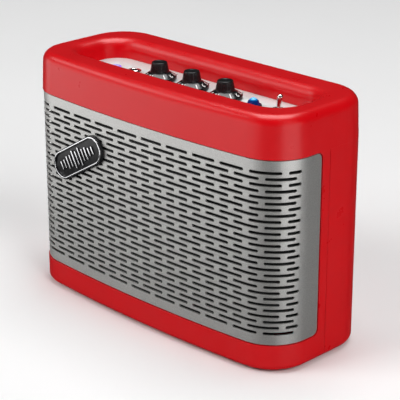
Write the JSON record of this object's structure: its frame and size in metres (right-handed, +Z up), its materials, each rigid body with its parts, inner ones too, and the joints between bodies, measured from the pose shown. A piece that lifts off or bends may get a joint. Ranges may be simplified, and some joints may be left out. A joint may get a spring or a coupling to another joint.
{
  "type": "amplifier-styled battery speaker",
  "caption": "Compact red battery speaker amplifier with a wrap-round slotted metal grille and a recessed top panel of rotary knobs, jewel light and toggle switch.",
  "frame": {"origin": "on the surface it stands on, under the middle of the cabinet", "axes": "+X to the amplifier's right as seen from the front, +Y towards its back, +Z up; the grille faces -Y"},
  "size_m": [0.183, 0.0783, 0.132],
  "materials": {
    "cabinet_red": "satin moulded",
    "grille_metal": "fine brushed satin",
    "black_cloth": "acoustic cloth",
    "badge_black": "gloss",
    "badge_chrome": "polished",
    "panel_silver": "bead blasted",
    "knob_black": "gloss moulded",
    "bright_metal": "polished",
    "steel": "machined",
    "switch_body": "moulded",
    "button_white": "satin",
    "light_ring": "translucent",
    "blue_lens": "faceted gloss",
    "board_green": "coated laminate",
    "baffle_black": "moulded",
    "basket_steel": "black",
    "magnet_grey": "coated",
    "cone_black": "pressed pulp",
    "soft_rubber": "matte",
    "cell_wrap": "shrink wrap",
    "ribbon_grey": "flexible"
  },
  "bodies": {
    "cabinet": {"front_shell": "cabinet_red", "rear_shell": "cabinet_red", "front_grille": "grille_metal", "grille_cloth": "black_cloth", "badge_plate": "badge_black", "badge_emblem": "badge_chrome", "control_panel": "panel_silver", "volume_pot": "switch_body", "treble_pot": "switch_body", "bass_pot": "switch_body", "pot_nuts": "bright_metal", "pairing_light_ring": "light_ring", "pairing_switch": "switch_body", "aux_jack": "switch_body", "aux_jack_nut": "bright_metal", "jewel_lens": "blue_lens", "jewel_bezel": "bright_metal", "jewel_lamp": "switch_body", "toggle_switch": "switch_body", "toggle_nut": "bright_metal", "control_board": "board_green", "front_baffle": "baffle_black", "left_woofer_basket": "basket_steel", "left_woofer_magnet": "magnet_grey", "left_woofer_surround": "soft_rubber", "right_woofer_basket": "basket_steel", "right_woofer_magnet": "magnet_grey", "right_woofer_surround": "soft_rubber", "tweeter_frame": "basket_steel", "tweeter_magnet": "magnet_grey", "driver_screws": "steel", "battery_cells": "cell_wrap", "battery_cradle": "baffle_black", "main_board": "board_green", "wireless_module": "switch_body", "board_screws": "steel", "ribbon_cable": "ribbon_grey", "rear_panel": "baffle_black", "rear_panel_screws": "steel", "dc_inlet": "switch_body", "usb_port": "switch_body", "case_screws": "steel", "rubber_feet": "soft_rubber"},
    "volume_control": {"volume_knob": "knob_black", "volume_shaft": "steel"},
    "treble_control": {"treble_knob": "knob_black", "treble_shaft": "steel"},
    "bass_control": {"bass_knob": "knob_black", "bass_shaft": "steel"},
    "pairing_button": {"pairing_button": "button_white"},
    "power_lever": {"toggle_lever": "bright_metal"},
    "left_cone": {"left_woofer_cone": "cone_black", "left_woofer_dust_cap": "cone_black"},
    "right_cone": {"right_woofer_cone": "cone_black", "right_woofer_dust_cap": "cone_black"},
    "tweeter_diaphragm": {"tweeter_dome": "cone_black"}
  },
  "joints": [
    {"name": "volume_turn", "type": "hinge", "parent": "cabinet", "child": "volume_control", "pos_m": [-0.0237, 0, 0.1219], "axis": [0, 0, 1], "range_deg": [-150, 150]},
    {"name": "treble_turn", "type": "hinge", "parent": "cabinet", "child": "treble_control", "pos_m": [0, 0, 0.1219], "axis": [0, 0, 1], "range_deg": [-150, 150]},
    {"name": "bass_turn", "type": "hinge", "parent": "cabinet", "child": "bass_control", "pos_m": [0.0237, 0, 0.1219], "axis": [0, 0, 1], "range_deg": [-150, 150]},
    {"name": "pairing_press", "type": "slide", "parent": "cabinet", "child": "pairing_button", "axis": [0, 0, -1], "range_m": [0, 0.0006], "stiffness_N_per_m": 400},
    {"name": "power_flip", "type": "hinge", "parent": "cabinet", "child": "power_lever", "pos_m": [0.0592, 0, 0.1229], "axis": [1, 0, 0], "range_deg": [0, 26]},
    {"name": "left_cone_travel", "type": "slide", "parent": "cabinet", "child": "left_cone", "axis": [0, -1, 0], "range_m": [-0.0015, 0.0015], "stiffness_N_per_m": 1300, "deforming": ["left_woofer_surround"]},
    {"name": "right_cone_travel", "type": "slide", "parent": "cabinet", "child": "right_cone", "axis": [0, -1, 0], "range_m": [-0.0015, 0.0015], "stiffness_N_per_m": 1300, "deforming": ["right_woofer_surround"]},
    {"name": "tweeter_dome_travel", "type": "slide", "parent": "cabinet", "child": "tweeter_diaphragm", "axis": [0, -1, 0], "range_m": [-0.0002, 0.0002], "stiffness_N_per_m": 1500}
  ]
}
